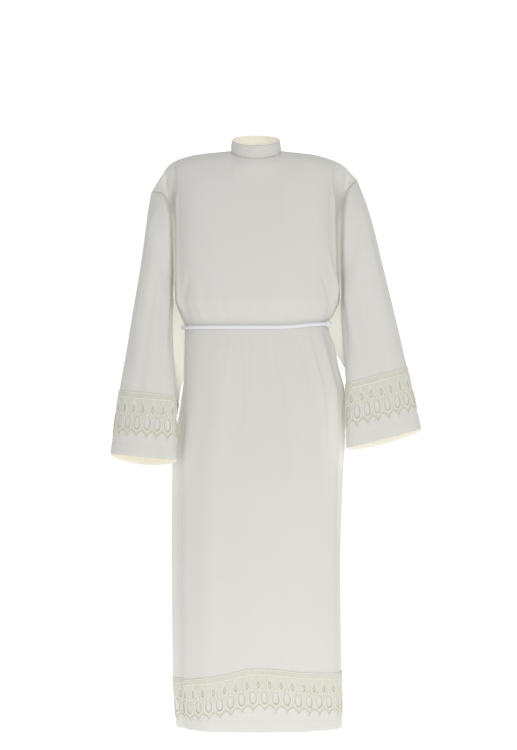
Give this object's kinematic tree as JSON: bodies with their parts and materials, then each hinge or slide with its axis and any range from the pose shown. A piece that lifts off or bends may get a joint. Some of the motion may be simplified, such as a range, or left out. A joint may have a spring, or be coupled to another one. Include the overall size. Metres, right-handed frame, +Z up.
{
  "type": "lace-trimmed alb with cord cincture",
  "caption": "Full-length white alb with wide sleeves, a stand collar, cream lace edgings at the cuffs and hem and a cord cincture, in its hollow worn form",
  "frame": {"origin": "centre of the neck's base at shoulder level, where the wearer's shoulders hold the garment", "axes": "+Z up along the garment's length, -Y to the front, +X to the wearer's left"},
  "size_m": [0.763, 0.2612, 1.4596],
  "materials": {
    "cloth": "plain matt polyester weave, off-white",
    "lace": "embroidered net lace, cream",
    "cord": "smooth braided cord, white"
  },
  "bodies": {
    "root": {"front": "cloth", "back": "cloth", "sleeve_right": "cloth", "sleeve_left": "cloth", "collar_band": "cloth", "cuff_lace_right_front": "lace", "cuff_lace_right_back": "lace", "cuff_lace_left_front": "lace", "cuff_lace_left_back": "lace", "hem_lace_front": "lace", "hem_lace_back": "lace", "cincture": "cord", "cincture_knot": "cord"}
  },
  "joints": []
}
